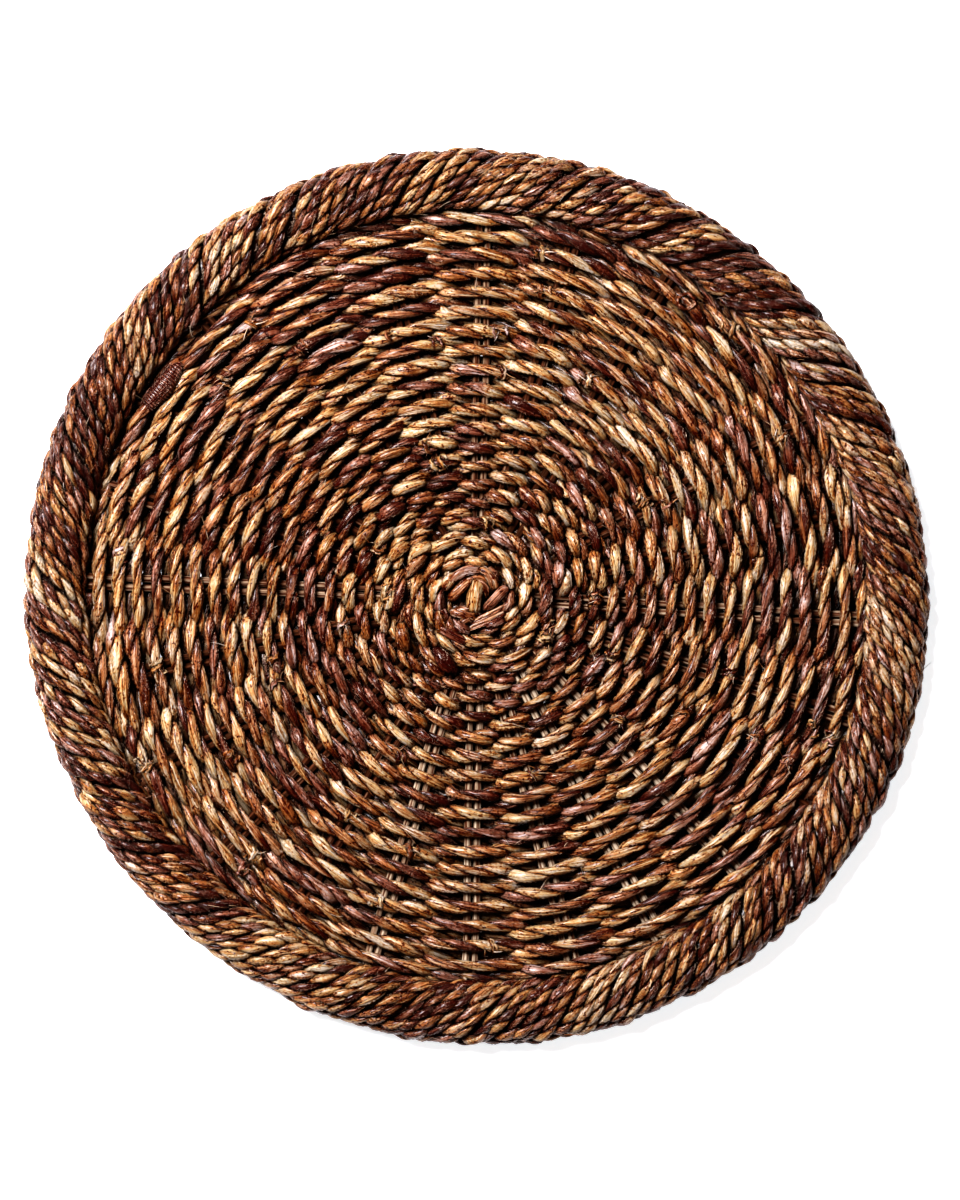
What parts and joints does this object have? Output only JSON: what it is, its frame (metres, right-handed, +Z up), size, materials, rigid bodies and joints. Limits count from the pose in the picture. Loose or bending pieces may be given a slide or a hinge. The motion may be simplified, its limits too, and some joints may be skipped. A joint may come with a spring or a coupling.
{
  "type": "round woven rope charger",
  "caption": "Round plate charger plain-woven of twisted natural rope over paired rattan reeds, with a thick rolled rim of slanting rope cords.",
  "frame": {"origin": "middle of the plate's outline at table level, under the foot of the rim", "axes": "+Z up, out of the plate well; +Y towards the far side of the plate as laid; +X to the right"},
  "size_m": [0.3822, 0.3782, 0.0187],
  "materials": {
    "mat_rope": "twisted two-ply plant rope, semi-gloss fibres, mixed straw, tan and dark brown",
    "rim_rope": "twisted two-ply plant rope wound slantwise, semi-gloss fibres, tan to near black",
    "reed": "dull grooved rattan core reed, grey tan"
  },
  "bodies": {
    "root": {"woven_mat": "mat_rope", "rolled_rim": "rim_rope", "reed_01a": "reed", "reed_01b": "reed", "reed_02a": "reed", "reed_02b": "reed", "reed_03a": "reed", "reed_03b": "reed", "reed_04a": "reed", "reed_04b": "reed", "reed_05a": "reed", "reed_05b": "reed", "reed_06a": "reed", "reed_06b": "reed", "reed_07a": "reed", "reed_07b": "reed", "reed_08a": "reed", "reed_08b": "reed", "reed_09a": "reed", "reed_09b": "reed", "reed_10a": "reed", "reed_10b": "reed", "reed_11a": "reed", "reed_11b": "reed", "reed_12a": "reed", "reed_12b": "reed", "reed_13a": "reed", "reed_13b": "reed", "reed_14a": "reed", "reed_14b": "reed", "reed_15a": "reed", "reed_15b": "reed", "reed_16a": "reed", "reed_16b": "reed", "reed_17a": "reed", "reed_17b": "reed", "reed_18a": "reed", "reed_18b": "reed", "reed_19a": "reed", "reed_19b": "reed", "reed_20a": "reed", "reed_20b": "reed", "reed_21a": "reed", "reed_21b": "reed", "reed_22a": "reed", "reed_22b": "reed", "reed_23a": "reed", "reed_23b": "reed", "reed_24a": "reed", "reed_24b": "reed"}
  },
  "joints": []
}
